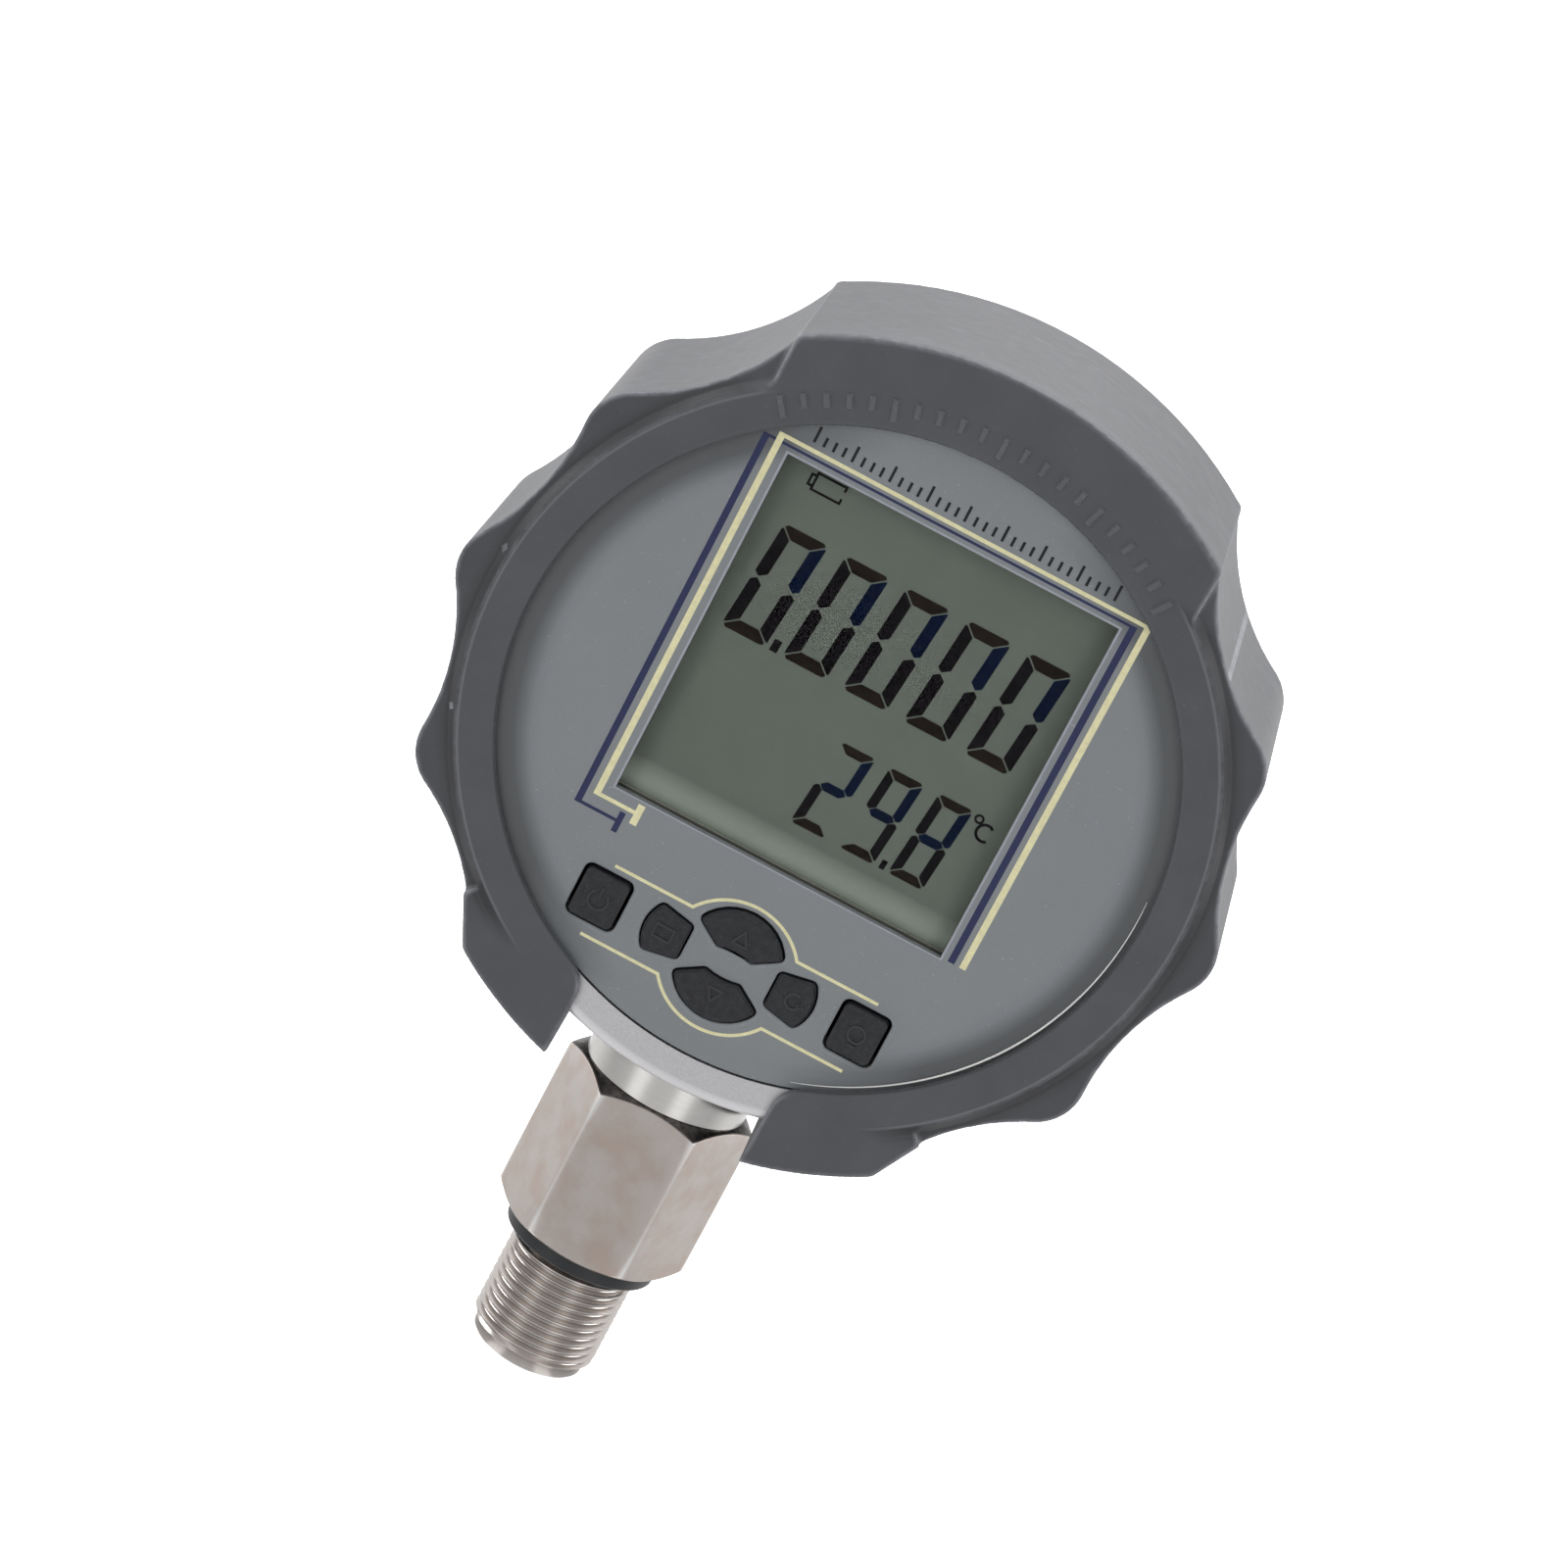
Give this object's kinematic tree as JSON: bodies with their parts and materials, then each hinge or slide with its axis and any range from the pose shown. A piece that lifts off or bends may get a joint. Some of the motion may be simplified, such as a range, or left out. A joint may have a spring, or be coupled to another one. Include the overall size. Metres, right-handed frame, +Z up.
{
  "type": "digital pressure gauge",
  "caption": "Round digital pressure gauge in a scalloped rubber boot, with a display window, sprung front keys and a threaded hexagonal stem below.",
  "frame": {"origin": "on the stem's axis at the sealing shoulder under the hexagon, on the axis of the pressure port", "axes": "+Z up the stem to the dial, the dial faces -Y, +X to the right of a viewer who faces the dial"},
  "size_m": [0.1236, 0.0412, 0.1739],
  "materials": {
    "boot_rubber": "matte moulded rubber, blue-grey",
    "case_steel": "fine blasted and turned steel",
    "panel_print": "satin blue-grey printed film on a metal plate",
    "carrier_plastic": "moulded black plastic",
    "window_clear": "clear polished pane",
    "foam": "closed-cell foam",
    "lcd_glass": "grey-green display glass, printed segments",
    "light_guide": "milky light guide",
    "frame_plastic": "moulded light plastic",
    "strip_rubber": "layered conductive rubber",
    "board_green": "lacquered circuit board",
    "chip_black": "moulded chip body",
    "screw_steel": "zinc-plated",
    "socket_plastic": "moulded cream plastic",
    "key_rubber": "matte black silicone",
    "pill_carbon": "carbon-filled silicone",
    "seal_rubber": "black nitrile rubber",
    "cover_plastic": "textured dark plastic",
    "cell_wrap": "plain printed cell sleeve",
    "contact_metal": "nickel-plated spring steel",
    "stem_steel": "turned and milled stainless steel, brushed flats",
    "neck_steel": "polished turned steel",
    "sensor_steel": "fine turned stainless steel",
    "flex_film": "amber flexible circuit"
  },
  "bodies": {
    "housing": {"rubber_boot": "boot_rubber", "case": "case_steel", "front_panel": "panel_print", "panel_carrier": "carrier_plastic", "display_window": "window_clear", "window_foam": "foam", "lcd_glass": "lcd_glass", "backlight": "light_guide", "lcd_frame": "frame_plastic", "contact_strips": "strip_rubber", "main_board": "board_green", "main_chip": "chip_black", "board_screws": "screw_steel", "flex_socket": "socket_plastic", "keypad_mat": "key_rubber", "rear_cover": "cover_plastic", "cover_seal": "seal_rubber", "cover_screws": "screw_steel", "battery_door": "cover_plastic", "door_seal": "seal_rubber", "door_screws": "screw_steel", "battery_1": "cell_wrap", "battery_2": "cell_wrap", "battery_3": "cell_wrap", "battery_springs": "contact_metal", "battery_plates": "contact_metal", "process_connection": "stem_steel", "neck": "neck_steel", "neck_nut": "screw_steel", "neck_seal": "seal_rubber", "sealing_ring": "seal_rubber", "sensor_capsule": "sensor_steel", "sensor_ring": "seal_rubber", "sensor_retainer": "sensor_steel", "sensor_flex": "flex_film"},
    "power_button": {"key_power": "key_rubber", "pill_power": "pill_carbon"},
    "menu_button": {"key_menu": "key_rubber", "pill_menu": "pill_carbon"},
    "up_button": {"key_up": "key_rubber", "pill_up": "pill_carbon"},
    "down_button": {"key_down": "key_rubber", "pill_down": "pill_carbon"},
    "zero_button": {"key_zero": "key_rubber", "pill_zero": "pill_carbon"},
    "light_button": {"key_light": "key_rubber", "pill_light": "pill_carbon"}
  },
  "joints": [
    {"name": "power_press", "type": "slide", "parent": "housing", "child": "power_button", "axis": [0, 1, 0], "range_m": [0, 0.0006], "stiffness_N_per_m": 1800, "springref_m": -0.0003},
    {"name": "menu_press", "type": "slide", "parent": "housing", "child": "menu_button", "axis": [0, 1, 0], "range_m": [0, 0.0006], "stiffness_N_per_m": 1800, "springref_m": -0.0003},
    {"name": "up_press", "type": "slide", "parent": "housing", "child": "up_button", "axis": [0, 1, 0], "range_m": [0, 0.0006], "stiffness_N_per_m": 1800, "springref_m": -0.0003},
    {"name": "down_press", "type": "slide", "parent": "housing", "child": "down_button", "axis": [0, 1, 0], "range_m": [0, 0.0006], "stiffness_N_per_m": 1800, "springref_m": -0.0003},
    {"name": "zero_press", "type": "slide", "parent": "housing", "child": "zero_button", "axis": [0, 1, 0], "range_m": [0, 0.0006], "stiffness_N_per_m": 1800, "springref_m": -0.0003},
    {"name": "light_press", "type": "slide", "parent": "housing", "child": "light_button", "axis": [0, 1, 0], "range_m": [0, 0.0006], "stiffness_N_per_m": 1800, "springref_m": -0.0003}
  ]
}
